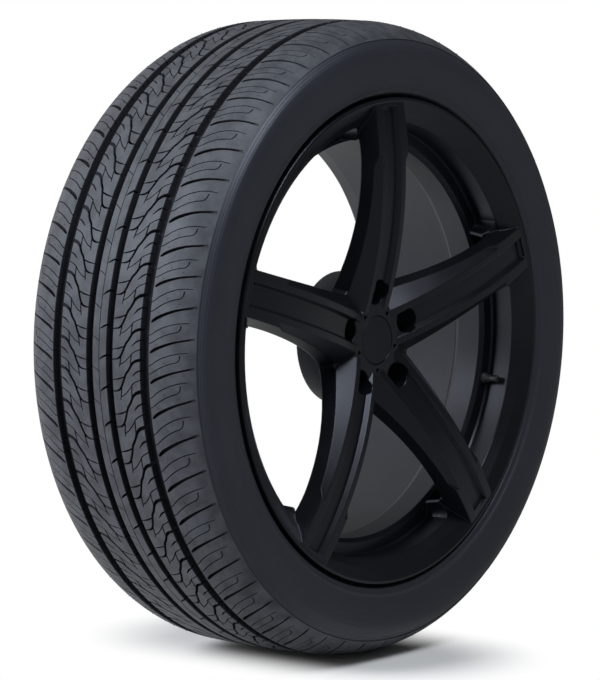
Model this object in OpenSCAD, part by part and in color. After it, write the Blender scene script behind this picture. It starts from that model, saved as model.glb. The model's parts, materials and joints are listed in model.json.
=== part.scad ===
// Road wheel with its low-profile tyre: a tubeless radial tyre seated on a
// one-piece five-spoke alloy wheel, with its centre cap and snap-in valve.
// The axle line is Y through the origin, the outer face looks towards -Y, +Z is up.

/* [Tyre] */
// Overall diameter over the tread
tyre_d = 659.7; // [640:1:680]
// Width over the sidewalls
section_w = 229; // [226:1:234]
// Radius of the tread across its flat middle
crown_r = 1210; // [900:10:1600]
// Half width of the flat middle, where the shoulder curve starts
crown_half_w = 55.3; // [50:0.1:58]
// Depth of the main grooves
groove_depth = 8; // [6:0.1:8.5]
// Distance of the outer main grooves from the middle
outer_groove_at = 57; // [56:0.1:58]
// Width of the outer main grooves
outer_groove_w = 11.4; // [9:0.1:12]
// Distance of the inner main grooves from the middle
inner_groove_at = 13; // [12:0.1:14]
// Width of the inner main grooves
inner_groove_w = 8.8; // [7:0.1:10]
// Depth of the cuts across the ribs
lateral_depth = 6.4; // [5:0.1:7]
// Thickness of the tread over the cavity
tread_thickness = 14.5; // [12:0.5:18]
// Thickness of the sidewall at its widest place
sidewall_thickness = 9.5; // [7:0.5:12]

/* [Rim] */
// Diameter of the bead seat at the flange
seat_d = 462; // [461:0.5:463]
// Width between the flanges, 7.5 inches
rim_w = 190.5; // [188:0.1:192]
// Height of the flange over the bead seat
flange_h = 18.8; // [17:0.1:19.5]
// Slope of the bead seat
seat_slope = 5; // [4:0.5:6]
// Radius of the flange's outward curl
flange_curl = 9.5; // [8:0.5:10]
// Outside radius of the drop centre
well_r = 211.8; // [211:0.1:213]

/* [Spokes] */
// Number of spokes
spokes = 5; // [5]
// Turn of the wheel from one spoke straight up
wheel_turn = 2.7; // [0:0.1:72]
// Height of the spoke's crest over the middle plane
crest_z = 114.6; // [112:0.1:116]
// Distance of that crest from the axle line
crest_at = 185; // [175:1:195]
// Radius of the spoke's arched face, seen from the side
face_r = 435; // [400:5:480]
// Half width of the flat top between the long bevels
land_half_w = 19.3; // [17:0.1:21]
// Half width of the spoke's tip at the lip
tip_half_w = 22.7; // [21:0.1:24]
// Distance from the axle line where the bevels run out
bevel_end = 193; // [180:1:200]
// Radius of the fillets between the spoke's tip and the rim
tip_fillet_r = 14; // [8:0.5:18]
// Half width of the channel's mouth
channel_half_w = 12.4; // [10:0.1:14]
// Half width of the channel's floor
channel_floor_half_w = 9.8; // [8:0.1:12]
// Depth of the channel
channel_depth = 5; // [3:0.1:7]

/* [Hub] */
// Height of the hub's flat face over the middle plane
hub_face_z = 86; // [84:0.5:90]
// Wheel offset: mounting face to middle plane
wheel_offset = 35; // [30:1:45]
// Diameter of the mounting pad
pad_d = 138; // [130:1:145]
// Diameter of the centre bore
centre_bore_d = 57.1; // [54:0.1:58]
// Bolt circle diameter
bolt_circle_d = 100; // [98:0.1:102]
// Diameter of the bolt holes
bolt_hole_d = 14.5; // [14:0.1:15]
// Diameter of the sockets round the bolt heads
socket_d = 26; // [24:0.5:27]
// Diameter of the centre cap
cap_d = 50.8; // [48:0.1:52]

/* [Valve] */
// Distance of the valve from the axle line
valve_at = 218.6; // [218.5:0.1:219]
// Diameter of the valve hole
valve_hole_d = 11.3; // [11:0.1:11.5]
// How far the valve cap stands out from the rim wall
valve_reach = 19; // [17:0.5:25]

/* [Hidden] */
$fn = 96;

tyre_r = tyre_d / 2;
half_section = section_w / 2;
half_rim = rim_w / 2;
seat_r = seat_d / 2;
lip_r = seat_r + flange_h;
spoke_step = 360 / spokes;
ledge_z = 70.6;
bore_top_z = wheel_offset + 20;
cap_groove_z = bore_top_z + 6;
valve_seat_z = ledge_z - 0.4;

// Shoulder ellipse and sidewall arc of the tyre's outer section
shoulder_r = tyre_r - (crown_r - sqrt(pow(crown_r, 2) - pow(crown_half_w, 2)));
widest_r = 290.9;
lower_arc_r = 138;
bead_lip_r = 254;

function seat_at(z) = seat_r - (half_rim - z) * tan(seat_slope);
function crown_at(z) = tyre_r - (crown_r - sqrt(pow(crown_r, 2) - pow(z, 2)));
function shoulder_point(t, grow = 0) = [
    widest_r + (shoulder_r + grow - widest_r) * cos(t),
    crown_half_w + (half_section + grow - crown_half_w) * sin(t)];
function tread_at(z) = z <= crown_half_w ? crown_at(z)
    : widest_r + (shoulder_r - widest_r)
      * sqrt(1 - pow((z - crown_half_w) / (half_section - crown_half_w), 2));
function lower_point(r) = [r,
    half_section - lower_arc_r + sqrt(pow(lower_arc_r, 2) - pow(widest_r - r, 2))];

// Half of the tyre's outer section from the crown to the bead toe, as [radius, height]
outer_half = concat(
    [[tyre_r, 0]], [for (t = [0, 15, 30, 45, 60]) shoulder_point(t)],
    [shoulder_point(61.5, 0.7), shoulder_point(64, 0.7), shoulder_point(66)],
    [for (t = [75, 90]) shoulder_point(t)], [for (r = [280, 263]) lower_point(r)],
    [[262, 112.6], [259.6, 112.1]], [for (r = [258.2, bead_lip_r]) lower_point(r)],
    [[bead_lip_r - 0.8, 106], [251.9, 101.6], [247.9, 97.2], [242.5, half_rim],
     [232.6, half_rim], [seat_at(half_rim - 1.6), half_rim - 1.6],
     [seat_at(half_rim - 18), half_rim - 18], [230.6, half_rim - 19.2]]);

// Half of the cavity's section from the bead toe up to the crown
cavity_r = tyre_r - tread_thickness;
cavity_half_w = half_section - sidewall_thickness;
inner_half = concat(
    [[236, 78], [245, 84.5], [256, 94], [270, 101]],
    [for (t = [90:-15:0]) [widest_r + (cavity_r - widest_r) * cos(t),
                           50 + (cavity_half_w - 50) * sin(t)]]);

function mirrored(points) = [for (i = [len(points) - 1:-1:0]) [points[i][0], -points[i][1]]];

module on_axle() {
    rotate([90, 0, 0]) children();
}

module at_spokes() {
    for (k = [0:spokes - 1]) rotate([0, 0, 90 + wheel_turn + k * spoke_step]) children();
}

// Section of one main groove, wider at its mouth
module groove_section(at, width) {
    mouth_r = tread_at(abs(at)) + 2;
    floor_r = tread_at(abs(at)) - groove_depth;
    polygon([[mouth_r, at - width / 2], [mouth_r, at + width / 2],
             [floor_r, at + width / 2 - 1.1], [floor_r, at - width / 2 + 1.1]]);
}

module tyre_section() {
    difference() {
        polygon(concat(mirrored(outer_half), outer_half, inner_half, mirrored(inner_half)));
        for (side = [-1, 1]) {
            groove_section(side * outer_groove_at, outer_groove_w);
            groove_section(side * inner_groove_at, inner_groove_w);
        }
    }
}

// Tread pattern: one pitch of cuts, set round the tyre in pitches of three lengths so that
// the tyre runs quietly. The half towards the vehicle mirrors the other, a part pitch on.
pitch_order = "MLMSMSSMLLLMLMLMLSMLLMSLSMLMLLSMLMSLLMLSMMLLSMSLMLLMSLLMSML";
pitch_count = len(pitch_order);
first_pitch = 143.2;
rib_shift = 0.41;
shoulder_shift = 0.48;
shoulder_tilt = atan(13.5 / 43.5);

// Centre lines of the cuts as [height, share of a pitch, width of the cut]
shoulder_line = [[61, 0.07, 2], [80, -0.26, 2.6], [107, -0.515, 2.2]];
rib_line = [[53, -0.737, 3.2], [42.5, -0.62, 2.8], [38, -0.39, 2.4], [27, 0.21, 2.1],
            [16, 0.32, 1.3]];
rib_branch = [[33, -0.145, 1.2], [16, -0.02, 1.4]];

function pitch_step(k) = pitch_order[k] == "S" ? 5.17 : pitch_order[k] == "M" ? 6.01 : 6.71;
function pitch_sum(k) = k == 0 ? 0 : pitch_sum(k - 1) + pitch_step(k - 1);
turn_per_step = 360 / pitch_sum(pitch_count);

function unit(v) = v / norm(v);
function side_of(p, i, side) = let (
    before = p[max(i - 1, 0)], after = p[min(i + 1, len(p) - 1)],
    along = unit([after[0] - before[0], after[1] - before[1]]))
    [p[i][0] - side * along[1] * p[i][2] / 2, p[i][1] + side * along[0] * p[i][2] / 2];
function ribbon(p) = concat([for (i = [0:len(p) - 1]) side_of(p, i, 1)],
                            [for (i = [len(p) - 1:-1:0]) side_of(p, i, -1)]);

// A cut's outline spread on the plane of its floor, then raised through the tread
module tread_cut(line, pitch_mm, base_z, stretch, middle) {
    linear_extrude(height = 16)
        polygon(ribbon([for (p = line) [(p[1] - middle) * pitch_mm, (p[0] - base_z) * stretch,
                                        p[2]]]));
}

module at_pitch(k, shift) {
    rotate([0, 0, first_pitch + (pitch_sum(k) + shift * pitch_step(k)) * turn_per_step])
        rotate([90, 0, 90]) children();
}

module half_pattern(rib_turn, shoulder_turn) {
    for (k = [0:pitch_count - 1]) {
        pitch_mm = tyre_r * pitch_step(k) * turn_per_step * PI / 180;
        at_pitch(k, rib_turn - 0.21) translate([0, 0, crown_at(35) - lateral_depth]) {
            tread_cut(rib_line, pitch_mm, 0, 1, -0.21);
            tread_cut(rib_branch, pitch_mm, 0, 1, -0.21);
        }
        at_pitch(k, shoulder_turn - 0.2) translate([0, 62, 322]) rotate([-shoulder_tilt, 0, 0])
            tread_cut(shoulder_line, pitch_mm, 62, 1 / cos(shoulder_tilt), -0.2);
    }
}

module tyre() {
    color("#26282b") on_axle() difference() {
        rotate_extrude() tyre_section();
        half_pattern(0, 0);
        mirror([0, 0, 1]) half_pattern(rib_shift, shoulder_shift);
    }
}

// Section of the rim, from the inboard lip to the outboard lip and back
rim_inner = [
    [241.5, -109.5], [232.5, -103.5], [225.6, -96], [223.4, -80], [217.9, 26], [207.7, 36],
    [well_r - 5, 39], [well_r - 5, 67], [211, ledge_z], [223.4, ledge_z], [224.8, 73], [225.5, 97],
    [234.8, 104.5], [247, 111.3], [249.7, 110.6]];
rim_outer = [
    [seat_at(half_rim), half_rim], [seat_at(77), 77], [seat_at(74) + 1, 74], [seat_at(71), 71],
    [228.2, 64], [well_r, 64], [well_r, 38], [223.6, 27], [227.6, -64], [seat_at(71), -71],
    [seat_at(74) + 1, -74], [seat_at(77), -77], [seat_at(half_rim), -half_rim]];

// Curl of one flange: a quarter round that turns outward from the straight flange face
function curl(side) = [for (t = [0:15:90]) let (a = side > 0 ? 90 - t : t)
    [lip_r - flange_curl + flange_curl * sin(a), side * (half_rim + flange_curl * (1 - cos(a)))]];

module rim_section() {
    polygon(concat(rim_inner, [[lip_r + 0.4, 109]], curl(1), rim_outer, curl(-1),
                   [[lip_r, -107.5], [lip_r - 2, -109.5]]));
}

// One spoke along +X: arched face, drafted walls, hollowed back
module on_wall(side) {
    mirror([0, side < 0 ? 1 : 0, 0])
        translate([248, tip_half_w, 113]) rotate([0, 0, -1.7]) rotate([11.3, 0, 0]) children();
}

module spoke_wall(side) {
    on_wall(side) translate([-248, -300, -200]) cube([348, 300, 400]);
}

// Fillet that blends the spoke's wall into the rim at its tip
module tip_fillet(side) {
    intersection() {
        on_wall(side) difference() {
            translate([0, 0, -60]) linear_extrude(height = 60)
                polygon([[-40, tip_fillet_r - 0.3], [-40, -4], [-10, -4], [-10, 19]]);
            translate([-40, tip_fillet_r - 0.3, -70]) cylinder(r = tip_fillet_r, h = 80);
        }
        rotate_extrude() polygon([[190, 69], [226.4, 69], [226.4, 96.3], [190, 75]]);
    }
}

module arch(r, height) {
    translate([crest_at, 0, crest_z - face_r]) rotate([90, 0, 0])
        cylinder(r = r, h = height, center = true, $fn = 360);
}

module spoke_back() {
    for (part = [[crest_at, 93.6, 263, -200], [crest_at, 93.6, 137, 0]])
        intersection() {
            translate([part[0], 0, part[1] - part[2]]) rotate([90, 0, 0])
                cylinder(r = part[2], h = 200, center = true, $fn = 240);
            translate([part[0] + part[3], -100, -260]) cube([200, 200, 400]);
        }
}

// Long bevel on one side, cut round the face's own arch and run out to a point
module spoke_bevel(side) {
    slope = 1.05;
    drop = 34;
    mirror([0, side < 0 ? 1 : 0, 0]) intersection() {
        translate([crest_at, 0, crest_z - face_r]) rotate([90, 0, 0]) rotate_extrude($fn = 360)
            polygon([[face_r + 4, -land_half_w + 4 * slope], [face_r + 4, -90],
                     [face_r - drop, -90], [face_r - drop, -land_half_w - drop * slope]]);
        translate([bevel_end, tip_half_w, crest_z]) rotate([0, 0, 35]) rotate([0, 55, 0])
            translate([-300, -200, -200]) cube([300, 400, 400]);
    }
}

// Channel along the middle of the spoke's face
module spoke_channel() {
    floor_r = face_r - channel_depth;
    grow = (channel_half_w - channel_floor_half_w) / channel_depth;
    intersection() {
        translate([crest_at, 0, crest_z - face_r]) rotate([90, 0, 0]) rotate_extrude($fn = 360)
            polygon([[floor_r, -channel_floor_half_w], [floor_r, channel_floor_half_w],
                     [face_r + 4, channel_half_w + 4 * grow],
                     [face_r + 4, -channel_half_w - 4 * grow]]);
        translate([30, -20, hub_face_z]) cube([211, 40, 60]);
    }
}

module spoke() {
    difference() {
        intersection() {
            arch(face_r, 110);
            spoke_wall(1);
            spoke_wall(-1);
            rotate_extrude() polygon([[4, 37], [227, 37], [227, 97], [235.6, 104], [247.3, 110],
                                      [247.3, 124], [4, 124]]);
        }
        spoke_back();
        spoke_bevel(1);
        spoke_bevel(-1);
        spoke_channel();
    }
}

module hub_blank() {
    rotate_extrude() polygon([[0, wheel_offset], [pad_d / 2, wheel_offset], [pad_d / 2, 62],
        [64.5, 77.5], [45.5, 77.5], [37, hub_face_z], [0, hub_face_z]]);
}

// Centre bore, cap seat, bolt holes with their cone seats and sockets, small face holes and
// the pockets that lighten the mounting pad between the bolts
module hub_holes() {
    translate([0, 0, wheel_offset - 5]) cylinder(d = centre_bore_d, h = bore_top_z - wheel_offset + 5);
    translate([0, 0, wheel_offset - 1]) cylinder(d1 = centre_bore_d + 6, d2 = centre_bore_d, h = 3);
    translate([0, 0, wheel_offset]) cylinder(r = 23.6, h = 60);
    translate([0, 0, cap_groove_z]) cylinder(r = 25.6, h = 6);
    translate([0, 0, hub_face_z - 6]) cylinder(d = cap_d + 0.4, h = 20);
    at_spokes() {
        translate([bolt_circle_d / 2, 0, 0]) {
            cylinder(d = bolt_hole_d, h = 130);
            translate([0, 0, wheel_offset + 12])
                cylinder(d1 = bolt_hole_d, d2 = socket_d, h = 10);
            translate([0, 0, wheel_offset + 22]) cylinder(d = socket_d, h = 100);
        }
        rotate([0, 0, 36]) {
            translate([31.5, 0, hub_face_z - 7]) cylinder(d = 4.6, h = 20);
            translate([51, 0, wheel_offset - 1]) cylinder(d1 = 19, d2 = 15, h = 13);
        }
    }
}

// Valve hole with the spot face that its rubber collar seats on
module valve_hole() {
    rotate([0, 0, 90 + wheel_turn - 1.5 * spoke_step]) translate([valve_at, 0, 0]) {
        translate([0, 0, 50]) cylinder(d = valve_hole_d, h = 40);
        translate([0, 0, valve_seat_z]) cylinder(r = 6.9, h = 6);
    }
}

module wheel() {
    color("#17181a") on_axle() difference() {
        union() {
            rotate_extrude($fn = 180) rim_section();
            at_spokes() {
                spoke();
                tip_fillet(1);
                tip_fillet(-1);
            }
            hub_blank();
        }
        hub_holes();
        valve_hole();
    }
}

// Plastic cap: face disc, skirt and six sprung legs with hooks
module centre_cap() {
    skirt_r = 23.4;
    leg_low_z = bore_top_z + 4;
    color("#1b1c1e") on_axle() difference() {
        rotate_extrude() polygon([[0, hub_face_z - 3], [18, hub_face_z - 3],
            [skirt_r - 2.4, hub_face_z - 5], [skirt_r - 2.4, leg_low_z], [skirt_r, leg_low_z],
            [skirt_r + 1.6, leg_low_z + 4], [skirt_r + 1.6, cap_groove_z + 5.6],
            [skirt_r, cap_groove_z + 5.9],
            [skirt_r, hub_face_z - 5.9], [cap_d / 2, hub_face_z - 5.9],
            [cap_d / 2, hub_face_z - 1], [cap_d / 2 - 1, hub_face_z], [0, hub_face_z]]);
        for (k = [0:5]) rotate([0, 0, 60 * k]) translate([15, -3, leg_low_z - 1])
            cube([20, 6, 15]);
    }
}

// Wire ring that spreads the cap's legs
module cap_spring() {
    color("#9b9da0") on_axle() rotate_extrude()
        translate([20.2, bore_top_z + 9]) circle(d = 1.6, $fn = 24);
}

module at_valve() {
    on_axle() rotate([0, 0, 90 + wheel_turn - 1.5 * spoke_step]) translate([valve_at, 0, 0])
        children();
}

// Snap-in rubber body: head inside the rim, neck in the hole, collar and tapered stem outside
module valve_stem() {
    wall_in = 64;
    wall_out = valve_seat_z;
    color("#141516") at_valve() rotate_extrude($fn = 48) polygon([
        [2.6, wall_in - 4.5], [5, wall_in - 4.5], [6.6, wall_in - 3], [6.6, wall_in],
        [valve_hole_d / 2, wall_in], [valve_hole_d / 2, wall_out], [6.4, wall_out],
        [6.1, wall_out + 2], [4.6, wall_out + 4.6], [4.1, wall_out + 9.4], [2.6, wall_out + 9.4]]);
}

// Brass tube moulded into the rubber body
module valve_insert() {
    color("#b3945a") at_valve() rotate_extrude($fn = 48) polygon([
        [1.6, 59.5], [2.6, 59.5], [2.6, 80], [2.6, 87], [1.6, 87]]);
}

// Spring-loaded pin with its seal
module valve_core() {
    color("#c2a569") at_valve() rotate_extrude($fn = 32) polygon([
        [0, 61], [1.2, 61], [1.2, 66], [1.6, 67], [1.6, 84], [0.6, 84], [0.6, 86.6], [0, 86.6]]);
}

// Screw-on dust cap
module valve_cap() {
    top = valve_seat_z + valve_reach;
    color("#0f1011") at_valve() rotate_extrude($fn = 48) polygon([
        [2.6, 80], [3.9, 80], [3.9, top - 0.8], [3.1, top], [0, top], [0, top - 1.4],
        [2.6, top - 1.4]]);
}

tyre();
wheel();
centre_cap();
cap_spring();
valve_stem();
valve_insert();
valve_core();
valve_cap();
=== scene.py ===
"""Mounted car tyre: the detailed tyre, the alloy wheel's finish, the valve and the stage.

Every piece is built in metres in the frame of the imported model: the axle line is Y
through the origin, the outer face looks towards -Y and +Z is up. Sections are written in
the wheel drawing's own terms: r is the distance from the axle line, z is the height over
the middle plane towards the outer face (z = -Y), and angles run from +X towards +Z.
"""

import json
import math

import bmesh
import bpy
from mathutils import Matrix, Vector
from mathutils.geometry import delaunay_2d_cdt

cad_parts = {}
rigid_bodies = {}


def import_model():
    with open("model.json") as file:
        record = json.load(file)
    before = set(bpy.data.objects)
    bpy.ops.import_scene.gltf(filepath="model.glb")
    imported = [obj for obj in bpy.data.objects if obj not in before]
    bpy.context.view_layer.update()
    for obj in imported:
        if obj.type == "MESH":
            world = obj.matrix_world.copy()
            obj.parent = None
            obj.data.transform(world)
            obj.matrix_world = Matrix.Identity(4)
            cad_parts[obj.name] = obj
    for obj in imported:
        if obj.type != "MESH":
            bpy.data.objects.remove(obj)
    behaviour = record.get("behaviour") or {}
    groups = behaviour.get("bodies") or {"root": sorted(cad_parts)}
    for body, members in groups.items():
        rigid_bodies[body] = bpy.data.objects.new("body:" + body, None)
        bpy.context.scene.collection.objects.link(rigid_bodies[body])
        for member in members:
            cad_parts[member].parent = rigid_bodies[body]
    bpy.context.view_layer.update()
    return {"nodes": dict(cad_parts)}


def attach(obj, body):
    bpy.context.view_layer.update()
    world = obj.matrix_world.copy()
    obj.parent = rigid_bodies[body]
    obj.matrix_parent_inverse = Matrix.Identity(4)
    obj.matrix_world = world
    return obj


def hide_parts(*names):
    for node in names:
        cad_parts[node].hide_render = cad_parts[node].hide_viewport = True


for start_object in list(bpy.data.objects):
    bpy.data.objects.remove(start_object)

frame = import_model()

bl_info = {
    "name": "Mounted car tyre",
    "version": (1, 0, 0),
    "blender": (4, 5, 0),
    "location": "3D View > Sidebar > Tyre",
    "description": "Builds the tyre's tread and sidewalls and dresses the alloy wheel",
    "category": "Add Mesh",
}

MM = 0.001
BODY = "root"


# Settings

class TyreSettings(bpy.types.PropertyGroup):
    """Sizes of the tyre, in millimetres, and its colours."""

    tyre_d: bpy.props.FloatProperty(
        name="Overall diameter", description="Over the middle of the tread",
        default=659.7, min=640.0, max=680.0)
    section_w: bpy.props.FloatProperty(
        name="Section width", description="Over the sidewalls", default=229.0, min=220.0, max=235.0)
    crown_r: bpy.props.FloatProperty(
        name="Crown radius", description="Radius across the flat middle of the tread",
        default=1210.0, min=900.0, max=1600.0)
    crown_half_w: bpy.props.FloatProperty(
        name="Crown half width", description="Where the shoulder curve starts",
        default=55.3, min=50.0, max=58.0)
    groove_depth: bpy.props.FloatProperty(
        name="Groove depth", description="Depth of the main grooves", default=8.0, min=5.0, max=9.0)
    lateral_depth: bpy.props.FloatProperty(
        name="Lateral depth", description="Depth of the curved grooves across the ribs",
        default=6.6, min=3.0, max=8.0)
    sipe_depth: bpy.props.FloatProperty(
        name="Sipe depth", description="Depth of the thin cuts", default=4.6, min=1.0, max=7.0)
    tread_color: bpy.props.FloatVectorProperty(
        name="Tread colour", description="Rubber of the tread", subtype="COLOR", size=4,
        default=(0.040, 0.043, 0.049, 1.0), min=0.0, max=1.0)
    side_color: bpy.props.FloatVectorProperty(
        name="Sidewall colour", description="Rubber of the sidewalls", subtype="COLOR", size=4,
        default=(0.017, 0.019, 0.025, 1.0), min=0.0, max=1.0)


class WheelSettings(bpy.types.PropertyGroup):
    """Look of the wheel and the valve."""

    coat_color: bpy.props.FloatVectorProperty(
        name="Coat colour", description="Satin black coat of the wheel", subtype="COLOR", size=4,
        default=(0.0035, 0.0042, 0.0062, 1.0), min=0.0, max=1.0)
    coat_roughness: bpy.props.FloatProperty(
        name="Coat roughness", description="Roughness of the satin coat",
        default=0.31, min=0.1, max=1.0)
    edge_round: bpy.props.FloatProperty(
        name="Edge rounding", description="Radius on the wheel's edges, in millimetres",
        default=1.8, min=0.1, max=3.0)


class StageSettings(bpy.types.PropertyGroup):
    """Camera, floor and light."""

    azimuth: bpy.props.FloatProperty(
        name="Azimuth", description="Angle of the camera's place round the wheel",
        default=math.radians(-51.1), subtype="ANGLE")
    elevation: bpy.props.FloatProperty(
        name="Elevation", description="Height angle of the camera",
        default=math.radians(5.338), subtype="ANGLE")
    distance: bpy.props.FloatProperty(
        name="Distance", description="From the wheel's centre to the camera",
        default=3.3851, unit="LENGTH")
    aim: bpy.props.FloatVectorProperty(
        name="Aim", description="Point that the camera looks at", subtype="XYZ", size=3,
        unit="LENGTH", default=(-0.0082, 0.0094, -0.0050))
    lens: bpy.props.FloatProperty(
        name="Lens", description="Focal length for a 36 mm high picture", default=170.99)
    world_level: bpy.props.FloatProperty(
        name="Surroundings", description="Level of the pale surroundings' light",
        default=1.0, min=0.0, max=3.0)


# Tyre section

def shoulder_radius(t):
    """Radius of the tread's edge where the shoulder curve starts."""
    return t.tyre_d / 2 - (t.crown_r - math.sqrt(t.crown_r ** 2 - t.crown_half_w ** 2))


# Radius at which the sidewall is widest, and of the arc that runs from there to the bead
WIDEST_R = 290.9
LOWER_ARC_R = 138.0
# Height at which the tread ends and the sidewall starts
TREAD_EDGE = 106.5

# The section from the tread's edge to the bead and round the inner face. The first, third
# and last runs are (radius, height); the second has radii only, on the sidewall's curve
SHOULDER_RIDGES = [(309.4, 106.9), (308.9, 106.4), (308.3, 107.0), (306.9, 108.8),
                   (306.4, 108.9), (305.8, 109.7), (304.6, 110.7), (304.1, 110.7),
                   (303.4, 111.5)]
SIDE_RADII = [301, 298, 294.5, 291, 287.5, 284, 280.5, 277, 273.5, 270, 267, 264.5]
BEAD_RINGS = [(262.8, 111.9), (261.6, 112.3), (260.2, 112.3), (259.2, 111.2), (257.8, 110.4),
              (256.2, 109.9), (254.9, 109.2), (254.0, 107.8), (253.3, 105.6), (251.9, 101.7),
              (249.9, 99.2), (247.9, 97.3), (245.1, 96.2), (242.5, 95.35)]
INNER_FACE = [(233, 95.35), (230.8, 93.6), (229.6, 77.5), (236, 77.5), (245, 84.5),
              (270, 101), (291, 104.5), (310, 88), (315, 50)]


def tread_radius(t, z):
    """Radius of the tread's outside at height z."""
    z = abs(z)
    if z <= t.crown_half_w:
        return t.tyre_d / 2 - (t.crown_r - math.sqrt(t.crown_r ** 2 - z ** 2))
    share = (z - t.crown_half_w) / (t.section_w / 2 - t.crown_half_w)
    return WIDEST_R + (shoulder_radius(t) - WIDEST_R) * math.sqrt(max(0.0, 1 - share ** 2))


def side_height(t, r):
    """Height of the sidewall over the middle plane at radius r."""
    half = t.section_w / 2
    if r > WIDEST_R:
        share = (r - WIDEST_R) / (shoulder_radius(t) - WIDEST_R)
        return t.crown_half_w + (half - t.crown_half_w) * math.sqrt(max(0.0, 1 - share ** 2))
    return half - LOWER_ARC_R + math.sqrt(LOWER_ARC_R ** 2 - (WIDEST_R - r) ** 2)


# Tread pattern

# Length of the pitch in which the cuts are drawn
PITCH = 35.12
# Short, middle and long pitches, in degrees, in the order they come round the tyre, and the
# angle at which the first one starts
PITCH_ANGLES = {"S": 5.17, "M": 6.01, "L": 6.71}
PITCH_ORDER = "MLMSMSSMLLLMLMLMLSMLLMSLSMLMLLSMLMSLLMLSMMLLSMSLMLLMSLLMSML"
FIRST_PITCH = 143.2

# Heights between which the main grooves lie, and the thin line round the tread's middle
OUTER_GROOVE = (51.3, 62.6)
INNER_GROOVE = (8.6, 17.4)
MIDDLE_LINE = (-0.8, 0.1)
LINE_DEPTH = 1.0

# Centre lines of the cuts in one pitch as (height, share of a pitch) with the cut's width
# at each point, for the half towards the outer face
SHOULDER_CUTS = [
    ("lateral", [(63.9, 0.015, 1.0), (65.5, -0.02, 2.3), (70, -0.116, 2.9), (79, -0.245, 2.6),
                 (88, -0.353, 2.1), (97, -0.433, 1.8), (105.2, -0.50, 2.4)]),
    ("sipe", [(62.0, -0.545, 0.8), (66, -0.607, 0.75), (70, -0.708, 0.75), (77, -0.83, 0.75),
              (86, -0.944, 0.7), (93, -0.998, 0.7), (100.8, -1.03, 0.6)]),
    ("sipe", [(62.0, -0.275, 0.8), (66, -0.328, 0.75), (72, -0.455, 0.75), (79, -0.575, 0.75),
              (86, -0.661, 0.75), (90, -0.69, 0.75), (92.5, -0.739, 0.75), (93.8, -0.819, 0.8),
              (94.2, -0.929, 0.9)]),
]
MIDDLE_CUTS = [
    ("curve", [(53, -0.737, 3.2), (48, -0.70, 3.0), (45, -0.661, 2.8), (41.8, -0.582, 2.6),
               (40, -0.491, 2.5), (37, -0.346, 2.3), (34, -0.237, 2.3), (30.5, 0.016, 2.2),
               (28.5, 0.136, 2.1), (26.5, 0.222, 2.0), (23, 0.284, 1.8), (16.5, 0.312, 1.0)]),
    ("curve", [(32.9, -0.15, 1.1), (28, -0.094, 1.3), (24, -0.056, 1.5), (17, -0.02, 0.8)]),
    ("curve", [(28.4, 0.13, 1.4), (27.3, 0.35, 1.3), (26, 0.55, 0.9)]),
    ("sipe", [(27.0, 0.46, 0.8), (32, 0.378, 0.8), (36, 0.274, 0.8), (40, 0.153, 0.8),
              (41.5, 0.085, 0.9), (45, 0.016, 0.8), (52, -0.075, 0.8)]),
    ("curve", [(41.3, 0.08, 1.1), (40.6, 0.25, 1.3), (40.1, 0.49, 1.3)]),
    ("curve", [(52.5, -0.385, 1.0), (50.5, -0.364, 1.3), (47, -0.315, 1.6), (44, -0.237, 1.2),
               (41.3, -0.165, 0.5)]),
]
CENTRE_CUTS = [
    ("curve", [(9.5, -0.815, 1.6), (8, -0.79, 1.9), (4.5, -0.742, 1.9), (2, -0.69, 1.2),
               (0.5, -0.655, 0.6)]),
    ("sipe", [(-9.2, -0.425, 0.5), (-5, -0.35, 0.7), (-0.8, -0.27, 0.5)]),
]
# Vent pips left by the mould, as (height, share of a pitch)
PIPS = [(78.7, -0.67), (90.5, -0.55), (71.5, -0.28)]
PIP_R = 0.7
PIP_TIP_R = 0.42
PIP_RISE = 0.6
PIP_SIDES = 5
# How far the other half of the pattern is turned on, in shares of a pitch
SHOULDER_SHIFT = 0.48
MIDDLE_SHIFT = 0.41

# Heights of the lines that carry the tread's curve across its width
CROSS_LINES = [26, 40, 68, 76, 83, 89.5, 95, 99.5, 103.2]
STEPS_PER_PITCH = 3
SMOOTH_PARTS = {"curve": 2, "lateral": 2, "sipe": 1}
# The rounded edges of a cut widen its mouth by this factor
MOUTH_GROWTH = {"curve": 1.2, "lateral": 1.2, "sipe": 1.35}
# Cuts run past the ends of the pitch by this share of it
OVERRUN = 0.1
# Points nearer to each other than this are one point, in millimetres
WELD = 0.02


def pitch_starts():
    """Angle in degrees at which each pitch starts, and where the last one ends."""
    steps = [PITCH_ANGLES[p] for p in PITCH_ORDER]
    grow = 360.0 / sum(steps)
    angles = [FIRST_PITCH]
    for step in steps:
        angles.append(angles[-1] + step * grow)
    return angles


def cut_depth(t, kind, z):
    """Depth of a kind of cut at height z."""
    if kind == "main":
        return t.groove_depth
    if kind == "curve":
        return t.lateral_depth
    if kind == "line":
        return LINE_DEPTH
    if kind == "sipe":
        return t.sipe_depth * min(1.0, max(0.12, (103 - abs(z)) / 14))
    if kind == "lateral":
        return t.lateral_depth * min(1.0, max(0.16, (105.5 - abs(z)) / 17))
    return 0.0


def smoothed(points, parts):
    """A smooth run of points through the given ones."""
    ends = [points[0]] + points + [points[-1]]
    run = []
    for p0, p1, p2, p3 in zip(ends, ends[1:], ends[2:], ends[3:]):
        for i in range(parts):
            u = i / parts
            run.append(tuple(
                0.5 * (2 * b + (c - a) * u + (2 * a - 5 * b + 4 * c - d) * u * u
                       + (3 * b - a - 3 * c + d) * u ** 3)
                for a, b, c, d in zip(p0, p1, p2, p3)))
    run.append(points[-1])
    return run


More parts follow.
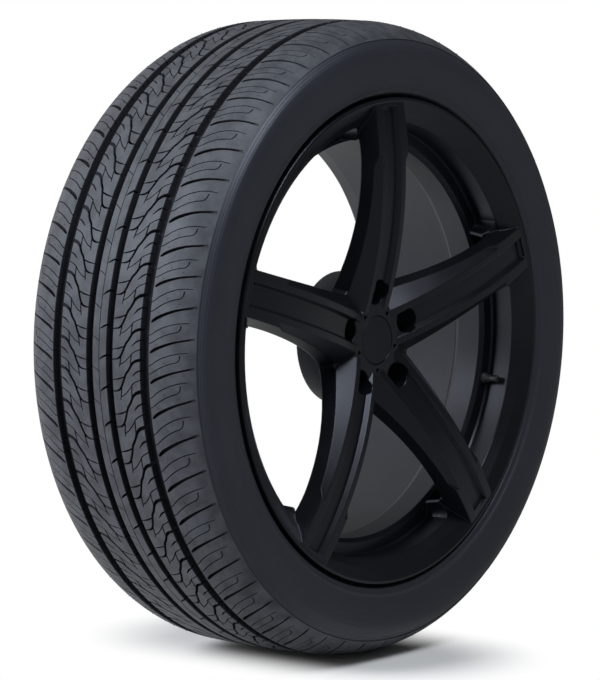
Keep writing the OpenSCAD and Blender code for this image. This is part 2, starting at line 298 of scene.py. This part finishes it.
def ribbon(points, kind, mirror, shift):
    """Outline of a cut, in millimetres on the unrolled tread."""
    growth = MOUTH_GROWTH[kind]
    line = smoothed([(mirror * z, (s + shift) * PITCH, w * growth) for z, s, w in points],
                    SMOOTH_PARTS[kind])
    left, right = [], []
    for i, (x, y, w) in enumerate(line):
        x0, y0, _ = line[max(0, i - 1)]
        x1, y1, _ = line[min(len(line) - 1, i + 1)]
        along = Vector((x1 - x0, y1 - y0))
        along.normalize()
        left.append((x - along.y * w / 2, y + along.x * w / 2))
        right.append((x + along.y * w / 2, y - along.x * w / 2))
    return left + right[::-1]


def counterclockwise(outline):
    """The outline's points in counterclockwise order."""
    area = sum(x0 * y1 - x1 * y0
               for (x0, y0), (x1, y1) in zip(outline, outline[1:] + outline[:1]))
    return outline if area > 0 else outline[::-1]


def cell_outlines():
    """Outlines of all the cuts that reach into one pitch, each with its kind."""
    start, end = -OVERRUN * PITCH, (1 + OVERRUN) * PITCH

    def strip(low, high):
        return [(low, start), (high, start), (high, end), (low, end)]

    outlines = []
    for low, high in (OUTER_GROOVE, INNER_GROOVE):
        for side in (1, -1):
            outlines.append(("main", strip(side * low, side * high)))
    outlines.append(("line", strip(*MIDDLE_LINE)))
    cuts = [(kind, points, 1, 0.0) for kind, points in SHOULDER_CUTS + MIDDLE_CUTS + CENTRE_CUTS]
    cuts += [(kind, points, -1, SHOULDER_SHIFT) for kind, points in SHOULDER_CUTS]
    cuts += [(kind, points, -1, MIDDLE_SHIFT) for kind, points in MIDDLE_CUTS]
    for kind, points, mirror, shift in cuts:
        for turn in range(-2, 4):
            outline = ribbon(points, kind, mirror, shift + turn)
            ys = [y for _, y in outline]
            if max(ys) > 0.0 and min(ys) < PITCH:
                outlines.append((kind, outline))
    return [(kind, counterclockwise(outline)) for kind, outline in outlines]


def tread_cell(t):
    """One pitch of the tread as points, triangles with their kind, and walls between kinds."""
    coords, edges, faces, kinds = [], [], [], []
    for kind, outline in cell_outlines():
        first = len(coords)
        coords += [Vector(p) for p in outline]
        faces.append(list(range(first, len(coords))))
        kinds.append(kind)
    heights = sorted([-TREAD_EDGE, TREAD_EDGE] + [s * z for z in CROSS_LINES for s in (1, -1)])
    for z in heights:
        edges.append((len(coords), len(coords) + 1))
        coords += [Vector((z, 0.0)), Vector((z, PITCH))]
    for i in range(STEPS_PER_PITCH + 1):
        edges.append((len(coords), len(coords) + 1))
        y = PITCH * i / STEPS_PER_PITCH
        coords += [Vector((-TREAD_EDGE, y)), Vector((TREAD_EDGE, y))]
    points, _, triangles, _, _, owners = delaunay_2d_cdt(coords, edges, faces, 0, 1e-4)
    kept, edge_sides = [], {}
    for tri, owner in zip(triangles, owners):
        mid = sum((points[i] for i in tri), Vector((0.0, 0.0))) / 3
        if not (0 < mid.y < PITCH and abs(mid.x) < TREAD_EDGE):
            continue
        over = [kinds[i] for i in owner if i < len(kinds)]
        kind = max(over, key=lambda k: cut_depth(t, k, mid.x)) if over else "top"
        kept.append((tri, kind))
        for i in range(3):
            a, b = tri[i], tri[(i + 1) % 3]
            edge_sides.setdefault((min(a, b), max(a, b)), []).append((a, b, kind))
    walls = []
    for sides in edge_sides.values():
        if len(sides) == 2 and sides[0][2] != sides[1][2]:
            a, b, here = sides[0]
            walls.append((a, b, here, sides[1][2]))
    return points, kept, walls


def side_profile(t):
    """Outer sidewall's section from the tread's edge to the bead, as (radius, height)."""
    run = SHOULDER_RIDGES + [(r, side_height(t, r)) for r in SIDE_RADII] + BEAD_RINGS
    return [(r, min(z, t.section_w / 2)) for r, z in run]


def add_pips(mesh, t, starts):
    """Small rubber pips that stand on the shoulder blocks."""
    for low, high in zip(starts, starts[1:]):
        for z, share in PIPS:
            for side, shift in ((1, 0.0), (-1, SHOULDER_SHIFT)):
                angle = math.radians(low + (high - low) * ((share + shift) % 1.0))
                r = tread_radius(t, z)
                foot = Matrix.Rotation(-angle, 4, "Y") @ Matrix.Translation(
                    (r * MM, -side * z * MM, 0.0)) @ Matrix.Rotation(math.pi / 2, 4, "Y")
                bmesh.ops.create_cone(mesh, segments=PIP_SIDES, radius1=PIP_R * MM,
                                      radius2=PIP_TIP_R * MM, depth=2 * PIP_RISE * MM,
                                      cap_ends=True, matrix=foot)


def build_tyre(t):
    """The tyre as one mesh: tread pitch by pitch, then both sidewalls and the inner face."""
    points, triangles, walls = tread_cell(t)
    starts = pitch_starts()
    mesh = bmesh.new()
    for n in range(len(starts) - 1):
        made = {}

        def corner(index, kind, n=n, made=made):
            if (index, kind) not in made:
                p = points[index]
                angle = math.radians(
                    starts[n] + (starts[n + 1] - starts[n]) * min(1, max(0, p.y / PITCH)))
                r = tread_radius(t, p.x) - cut_depth(t, kind, p.x)
                made[index, kind] = mesh.verts.new(
                    (r * MM * math.cos(angle), -p.x * MM, r * MM * math.sin(angle)))
            return made[index, kind]

        for tri, kind in triangles:
            mesh.faces.new([corner(i, kind) for i in tri])
        for a, b, here, there in walls:
            ring = [corner(b, here), corner(a, here), corner(a, there), corner(b, there)]
            if (ring[0].co - ring[3].co).length > 1e-6 or (ring[1].co - ring[2].co).length > 1e-6:
                mesh.faces.new(ring)
    bmesh.ops.remove_doubles(mesh, verts=mesh.verts, dist=WELD * MM)
    add_pips(mesh, t, starts)

    angles = []
    for a, b in zip(starts, starts[1:]):
        angles += [math.radians(a + (b - a) * i / STEPS_PER_PITCH) for i in range(STEPS_PER_PITCH)]
    edge = (tread_radius(t, TREAD_EDGE), TREAD_EDGE)
    profile = [edge] + side_profile(t) + INNER_FACE
    section = profile + [(r, -z) for r, z in profile[::-1]]
    rings = []
    for r, z in section:
        rings.append([mesh.verts.new((r * MM * math.cos(a), -z * MM, r * MM * math.sin(a)))
                      for a in angles])
    for low, high in zip(rings, rings[1:]):
        for i in range(len(angles)):
            j = (i + 1) % len(angles)
            mesh.faces.new([low[i], low[j], high[j], high[i]])
    bmesh.ops.remove_doubles(mesh, verts=mesh.verts, dist=WELD * MM)
    bmesh.ops.recalc_face_normals(mesh, faces=mesh.faces)
    return mesh


# Materials

def shade(color, factor):
    """The colour made lighter or darker by a factor."""
    return tuple(c * factor for c in color[:3]) + (1.0,)


class Link:
    """A node's output, with the usual signs for Math nodes."""

    def __init__(self, look, socket):
        self.look, self.socket = look, socket

    def _math(self, operation, *others):
        return self.look.math(operation, self, *others)

    def __add__(self, other):
        return self._math("ADD", other)

    def __sub__(self, other):
        return self._math("SUBTRACT", other)

    def __mul__(self, other):
        return self._math("MULTIPLY", other)

    def __truediv__(self, other):
        return self._math("DIVIDE", other)

    def __gt__(self, other):
        return self._math("GREATER_THAN", other)

    def __lt__(self, other):
        return self._math("LESS_THAN", other)


class Look:
    """A material with one Principled shader and short ways to make its nodes."""

    def __init__(self, name, **values):
        self.material = bpy.data.materials.new(name)
        self.material.use_nodes = True
        self.tree = self.material.node_tree
        self.shader = self.tree.nodes["Principled BSDF"]
        for key, value in values.items():
            self.shader.inputs[key.replace("_", " ")].default_value = value

    def node(self, kind, settings=None, **inputs):
        made = self.tree.nodes.new(kind)
        for key, value in (settings or {}).items():
            setattr(made, key, value)
        for key, value in inputs.items():
            self.put(made.inputs[key.replace("_", " ")], value)
        return made

    def put(self, socket, value):
        if isinstance(value, Link):
            self.tree.links.new(value.socket, socket)
        else:
            socket.default_value = value

    def math(self, operation, *values):
        made = self.node("ShaderNodeMath", {"operation": operation})
        for socket, value in zip(made.inputs, values):
            self.put(socket, value)
        return Link(self, made.outputs[0])

    def coordinates(self):
        return Link(self, self.node("ShaderNodeTexCoord").outputs["Object"])

    def xyz(self):
        """The object's own coordinates."""
        parts = self.node("ShaderNodeSeparateXYZ", Vector=self.coordinates())
        return tuple(Link(self, parts.outputs[i]) for i in range(3))

    def place(self):
        """Distance from the axle line, height over the middle plane, and angle round."""
        x, y, z = self.xyz()
        return self.math("SQRT", x * x + z * z), y, self.math("ARCTAN2", z, x)

    def noise(self, scale, detail=3.0, rough=0.5):
        made = self.node("ShaderNodeTexNoise", Vector=self.coordinates(), Scale=scale,
                         Detail=detail, Roughness=rough)
        return Link(self, made.outputs["Fac"])

    def ramp(self, value, low, high, out_low=0.0, out_high=1.0):
        made = self.node("ShaderNodeMapRange", {"interpolation_type": "SMOOTHSTEP"}, Value=value)
        for socket, number in zip(made.inputs[1:5], (low, high, out_low, out_high)):
            self.put(socket, number)
        return Link(self, made.outputs["Result"])

    def mix(self, factor, a, b):
        made = self.node("ShaderNodeMix", {"data_type": "RGBA"})
        self.put(made.inputs["Factor"], factor)
        self.put(made.inputs[6], a)
        self.put(made.inputs[7], b)
        return Link(self, made.outputs[2])

    def bump(self, height, strength=1.0, edge=0.0):
        """Fine relief, in metres, over edges that are rounded by the given radius."""
        made = self.node("ShaderNodeBump", Height=height, Distance=1.0, Strength=strength)
        if edge:
            rounded = self.node("ShaderNodeBevel", {"samples": 6}, Radius=edge)
            self.put(made.inputs["Normal"], Link(self, rounded.outputs["Normal"]))
        self.put(self.shader.inputs["Normal"], Link(self, made.outputs["Normal"]))


def tread_depth(look, t, radius, height):
    """How deep a point lies under the tread's outside, in metres."""
    edge, half = t.crown_half_w * MM, t.section_w / 2 * MM
    top = shoulder_radius(t) * MM
    away = look.math("ABSOLUTE", height)
    share = look.math("MINIMUM", look.math("MAXIMUM", (away - edge) / (half - edge), 0.0), 1.0)
    middle = look.math("MINIMUM", away, edge)
    outside = look.math("SQRT", (share * share) * -1.0 + 1.0) * (top - WIDEST_R * MM)
    crown = (middle * middle) * (-0.5 / (t.crown_r * MM)) + edge ** 2 * 0.5 / (t.crown_r * MM)
    return outside + crown + WIDEST_R * MM - radius


# The cool tint of the light that black rubber and the coat throw back
SHEEN_TINT = (0.80, 0.84, 1.0, 1.0)

# Moulded fields of the sidewall as (from, to) in degrees round the wheel
CHECKER_FIELD = (87.0, 97.0)
HATCH_FIELD = (165.0, 175.0)
DASH_FIELDS = [(-160.0, -148.0), (-135.0, -100.0)]
# Radii between which the fields and the fine rings by the bead lie, in metres
FIELD_BAND = (0.2750, 0.3000)
DASH_BAND = (0.2755, 0.2990)
RING_BAND = (0.2655, 0.2745)
# Steps of the rings, the checker's rows and the dashes along the radius, in metres
RING_STEP = 0.0016
CHECKER_STEP = 0.0050
DASH_STEP = 0.0060
# How far the fields and the rings stand out, in metres
FIELD_RISE = 0.00045
RING_RISE = 0.00007

# Radii between which the sidewall's rubber turns into the tread's, in metres
TREAD_FROM, TREAD_FULL = 0.3085, 0.3105
# Depths between which a cut's rubber is painted dark as painted shade, in metres, and the colour of
# that painted shade
SHADE_FROM, SHADE_FULL = 0.0003, 0.0020
GROOVE_SHADE_COLOR = (0.006, 0.007, 0.009, 1.0)
SIDE_ROUGHNESS, TREAD_ROUGHNESS = 0.44, 0.58


def sidewall_relief(look, radius, angle):
    """Height of the sidewall's moulded fields and fine rings, in metres."""
    def band(inner, outer):
        return (radius > inner) * (radius < outer)

    def field(low, high, radii=FIELD_BAND):
        return ((angle > math.radians(low)) * (angle < math.radians(high))) * band(*radii)

    def wave(step, start=0.0):
        return look.math("SINE", radius * (math.tau / step) + start)

    rings = wave(RING_STEP) * band(*RING_BAND)
    rows = wave(CHECKER_STEP)
    columns = look.math("SINE", angle * 360.0)
    checker = look.ramp(rows * columns, -0.15, 0.15) * field(*CHECKER_FIELD)
    slanted = look.ramp(look.math("SINE", angle * 420.0 + radius * 900.0), -0.2, 0.2)
    hatch = slanted * field(*HATCH_FIELD)
    dashes = look.ramp(wave(DASH_STEP, 1.2), 0.72, 0.92)
    dashes = dashes * look.ramp(look.math("SINE", angle * (360.0 / 1.1)), -0.1, 0.3)
    marks = checker + hatch
    for low, high in DASH_FIELDS:
        marks = marks + dashes * field(low, high, DASH_BAND)
    return marks * FIELD_RISE + rings * RING_RISE


def rubber_look(t):
    """Charcoal tread with painted shade in its grooves, darker sidewalls with moulded rings and
    fields.
    """
    look = Look("rubber", Specular_IOR_Level=0.5, Specular_Tint=SHEEN_TINT)
    radius, height, angle = look.place()
    on_tread = look.ramp(radius, TREAD_FROM, TREAD_FULL)
    # Painted shade: the rubber in the cuts is darkened with depth towards the painted shade colour;
    # the same mask also makes the cuts rougher
    groove_shade = look.ramp(tread_depth(look, t, radius, height), SHADE_FROM, SHADE_FULL) * on_tread
    cloud = look.noise(14.0, 4.0)
    dust = look.noise(60.0, 5.0, 0.6)
    side = look.mix(cloud, tuple(t.side_color), shade(t.side_color, 1.45))
    tread = look.mix(look.ramp(dust, 0.35, 0.65), shade(t.tread_color, 0.75),
                     shade(t.tread_color, 1.3))
    # The painted shade darkens the colour of the cuts here
    color = look.mix(groove_shade, look.mix(on_tread, side, tread), GROOVE_SHADE_COLOR)
    look.put(look.shader.inputs["Base Color"], color)
    roughness = look.ramp(on_tread + (cloud - 0.5) * 0.3, 0.0, 1.0,
                          SIDE_ROUGHNESS, TREAD_ROUGHNESS)
    look.put(look.shader.inputs["Roughness"], roughness + groove_shade * 0.3)
    look.bump(sidewall_relief(look, radius, angle) + look.noise(900.0, 2.0) * 0.00006, 0.9)
    return look.material


def coat_look(w, name="satin_coat", rough=None):
    """Satin black coat with a faint orange-peel and slight changes of gloss."""
    rough = w.coat_roughness if rough is None else rough
    look = Look(name, Metallic=0.0, Specular_IOR_Level=0.5, Specular_Tint=SHEEN_TINT)
    cloud = look.noise(22.0, 3.0)
    peel = look.noise(700.0, 2.0)
    look.put(look.shader.inputs["Base Color"],
             look.mix(cloud, shade(w.coat_color, 0.85), shade(w.coat_color, 1.2)))
    look.put(look.shader.inputs["Roughness"],
             look.ramp(cloud, 0.2, 0.8, rough - 0.04, rough + 0.05))
    look.bump(peel * 0.00002, 0.5, w.edge_round * MM)
    return look.material


def plain_look(name, color, roughness, metallic=0.0, grain=400.0, relief=0.00003):
    """A plain material with a fine grain and uneven gloss."""
    look = Look(name, Metallic=metallic)
    cloud = look.noise(grain / 6, 3.0)
    look.put(look.shader.inputs["Base Color"],
             look.mix(cloud, color, shade(color, 1.3)))
    look.put(look.shader.inputs["Roughness"],
             look.ramp(cloud, 0.2, 0.8, roughness - 0.06, roughness + 0.06))
    look.bump(look.noise(grain, 2.0) * relief, 0.6)
    return look.material


# Where the pale side of the surroundings lies: behind the wheel and to its left
PALE_SIDE = (-0.45, 0.88, 0.15)
# Level of the other side and of the floor there, as shares of the pale side's
DIM_WORLD = 0.09
DIM_FLOOR = 0.24
# Half the length of the line on which the tyre stands, and how far from it the floor's shadow
# starts to fade and has gone, in metres
CONTACT_HALF = 0.105
FADE_FROM, FADE_FULL = 0.05, 0.17
FLOOR_SIZE = 12.0
LAMP_COLOR = (0.93, 0.97, 1.0)
# Each lamp's name, place, aim, size in metres and power in watts
LAMPS = (("lamp_left", (-2.7, 0.9, 1.6), (0, 0, 0.05), 1.2, 80.0),
         ("lamp_top", (-0.5, -0.9, 1.9), (0, 0, 0.15), 1.1, 30.0))


def floor_look(s):
    """White paper that fades to plain white away from the tyre's contact shadow."""
    look = Look("floor_paper", Roughness=0.9, Specular_IOR_Level=0.1,
                Base_Color=(0.86, 0.86, 0.87, 1.0))
    x, y, _ = look.xyz()
    beyond = look.math("MAXIMUM", look.math("ABSOLUTE", y) - CONTACT_HALF, 0.0)
    far = look.ramp(look.math("SQRT", x * x + beyond * beyond), FADE_FROM, FADE_FULL)
    rays = look.node("ShaderNodeLightPath")
    seen, mirrored = (Link(look, rays.outputs[k]) for k in ("Is Camera Ray", "Is Glossy Ray"))
    towards_pale = (x * PALE_SIDE[0] + y * PALE_SIDE[1]) / look.math("SQRT", x * x + y * y)
    pale = look.ramp(towards_pale, 0.1, 0.9, s.world_level * DIM_FLOOR, s.world_level)
    white = look.node("ShaderNodeEmission", Color=(1.0, 1.0, 1.0, 1.0),
                      Strength=seen + mirrored * pale)
    blend = look.node("ShaderNodeMixShader", Fac=(seen + mirrored) * far)
    look.tree.links.new(look.shader.outputs[0], blend.inputs[1])
    look.tree.links.new(white.outputs[0], blend.inputs[2])
    look.tree.links.new(blend.outputs[0], look.tree.nodes["Material Output"].inputs["Surface"])
    look.material.cycles.emission_sampling = "NONE"
    return look.material


def surroundings(s):
    """White to the camera; to the object, pale behind it and dim on the camera's side."""
    world = bpy.data.worlds.new("surroundings")
    world.use_nodes = True
    tree = world.node_tree
    back = tree.nodes.new("ShaderNodeVectorMath")
    back.operation = "DOT_PRODUCT"
    back.inputs[1].default_value = PALE_SIDE
    tree.links.new(tree.nodes.new("ShaderNodeTexCoord").outputs["Generated"], back.inputs[0])
    level = tree.nodes.new("ShaderNodeMapRange")
    level.interpolation_type = "SMOOTHSTEP"
    levels = (0.2, 0.9, s.world_level * DIM_WORLD, s.world_level)
    for socket, number in zip(level.inputs[1:5], levels):
        socket.default_value = number
    tree.links.new(back.outputs["Value"], level.inputs["Value"])
    white = tree.nodes.new("ShaderNodeMix")
    white.inputs["B"].default_value = 1.0
    tree.links.new(tree.nodes.new("ShaderNodeLightPath").outputs["Is Camera Ray"],
                   white.inputs["Factor"])
    tree.links.new(level.outputs["Result"], white.inputs["A"])
    background = tree.nodes["Background"]
    background.inputs["Color"].default_value = (1.0, 1.0, 1.0, 1.0)
    tree.links.new(white.outputs["Result"], background.inputs["Strength"])
    return world


# Pieces

def add_piece(name, mesh, material, sharp=35.0):
    """Makes an object from a bmesh, shades it and lets it ride on the model."""
    data = bpy.data.meshes.new(name)
    mesh.to_mesh(data)
    mesh.free()
    data.polygons.foreach_set("use_smooth", [True] * len(data.polygons))
    data.set_sharp_from_angle(angle=math.radians(sharp))
    data.materials.append(material)
    piece = bpy.data.objects.new(name, data)
    bpy.context.scene.collection.objects.link(piece)
    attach(piece, BODY)
    return piece


def dress(node, material):
    """Gives a CAD node's own object a better material."""
    data = frame["nodes"][node].data
    data.materials.clear()
    data.materials.append(material)


class TYRE_OT_tyre(bpy.types.Operator):
    """Build the tyre with its tread pattern and sidewalls"""

    bl_idname = "tyre_part.tyre"
    bl_label = "Tyre"

    def execute(self, context):
        t = context.scene.tyre_settings
        piece = add_piece("tyre_detailed", build_tyre(t), rubber_look(t))
        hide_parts("tyre")
        return {"FINISHED"}


class TYRE_OT_wheel(bpy.types.Operator):
    """Dress the alloy wheel in its satin black coat"""

    bl_idname = "tyre_part.wheel"
    bl_label = "Alloy wheel"

    def execute(self, context):
        w = context.scene.wheel_settings
        dress("wheel", coat_look(w))
        return {"FINISHED"}


class TYRE_OT_small_parts(bpy.types.Operator):
    """Dress the centre cap and the valve"""

    bl_idname = "tyre_part.small_parts"
    bl_label = "Cap and valve"

    def execute(self, context):
        w = context.scene.wheel_settings
        dress("centre_cap", coat_look(w, "cap_coat", 0.46))
        dress("cap_spring", plain_look("spring_wire", (0.45, 0.45, 0.47, 1.0), 0.3, 1.0))
        dress("valve_stem", plain_look("valve_rubber", (0.014, 0.014, 0.015, 1.0), 0.6))
        brass = plain_look("valve_brass", (0.60, 0.45, 0.20, 1.0), 0.3, 1.0)
        dress("valve_insert", brass)
        dress("valve_core", brass)
        dress("valve_cap", plain_look("valve_plastic", (0.010, 0.010, 0.011, 1.0), 0.4))
        return {"FINISHED"}


class TYRE_OT_stage(bpy.types.Operator):
    """Set the camera, the floor, the surroundings and the lamps"""

    bl_idname = "tyre_part.stage"
    bl_label = "Stage"

    def execute(self, context):
        s = context.scene.stage_settings
        scene = context.scene
        camera_data = bpy.data.cameras.new("camera")
        camera_data.sensor_fit = "VERTICAL"
        camera_data.sensor_height = 36.0
        camera_data.lens = s.lens
        camera = bpy.data.objects.new("camera", camera_data)
        flat = s.distance * math.cos(s.elevation)
        camera.location = Vector(s.aim) + Vector((
            flat * math.sin(s.azimuth), -flat * math.cos(s.azimuth),
            s.distance * math.sin(s.elevation)))
        camera.rotation_euler = (math.pi / 2 - s.elevation, 0.0, s.azimuth)
        scene.collection.objects.link(camera)
        scene.camera = camera

        floor_z = -context.scene.tyre_settings.tyre_d / 2 * MM
        mesh = bmesh.new()
        bmesh.ops.create_grid(mesh, x_segments=2, y_segments=2, size=FLOOR_SIZE)
        data = bpy.data.meshes.new("floor")
        mesh.to_mesh(data)
        mesh.free()
        data.materials.append(floor_look(s))
        floor = bpy.data.objects.new("floor", data)
        floor.location = (0.0, 0.0, floor_z)
        scene.collection.objects.link(floor)

        scene.world = surroundings(s)

        for name, place, aim, size, power in LAMPS:
            lamp_data = bpy.data.lights.new(name, "AREA")
            lamp_data.size = size
            lamp_data.energy = power
            lamp_data.color = LAMP_COLOR
            lamp = bpy.data.objects.new(name, lamp_data)
            lamp.location = place
            lamp.rotation_euler = (Vector(aim) - Vector(place)).to_track_quat("-Z", "Y").to_euler()
            scene.collection.objects.link(lamp)
        scene.view_settings.view_transform = "Standard"
        return {"FINISHED"}


class TYRE_PT_panel(bpy.types.Panel):
    """Sizes, colours and the buttons that build the pieces"""

    bl_idname = "TYRE_PT_panel"
    bl_label = "Mounted tyre"
    bl_space_type = "VIEW_3D"
    bl_region_type = "UI"
    bl_category = "Tyre"

    def draw(self, context):
        scene = context.scene
        for group in (scene.tyre_settings, scene.wheel_settings, scene.stage_settings):
            box = self.layout.box()
            for key in group.__annotations__:
                box.prop(group, key)
        for operator in OPERATORS:
            self.layout.operator(operator.bl_idname)


GROUPS = {"tyre_settings": TyreSettings, "wheel_settings": WheelSettings,
          "stage_settings": StageSettings}
OPERATORS = (TYRE_OT_tyre, TYRE_OT_wheel, TYRE_OT_small_parts, TYRE_OT_stage)


def register():
    for name, group in GROUPS.items():
        bpy.utils.register_class(group)
        setattr(bpy.types.Scene, name, bpy.props.PointerProperty(type=group))
    for operator in OPERATORS:
        bpy.utils.register_class(operator)
    bpy.utils.register_class(TYRE_PT_panel)


def unregister():
    bpy.utils.unregister_class(TYRE_PT_panel)
    for operator in reversed(OPERATORS):
        bpy.utils.unregister_class(operator)
    for name, group in reversed(GROUPS.items()):
        delattr(bpy.types.Scene, name)
        bpy.utils.unregister_class(group)


def main():
    register()
    bpy.ops.tyre_part.tyre()
    bpy.ops.tyre_part.wheel()
    bpy.ops.tyre_part.small_parts()
    bpy.ops.tyre_part.stage()


if __name__ == "__main__":
    main()
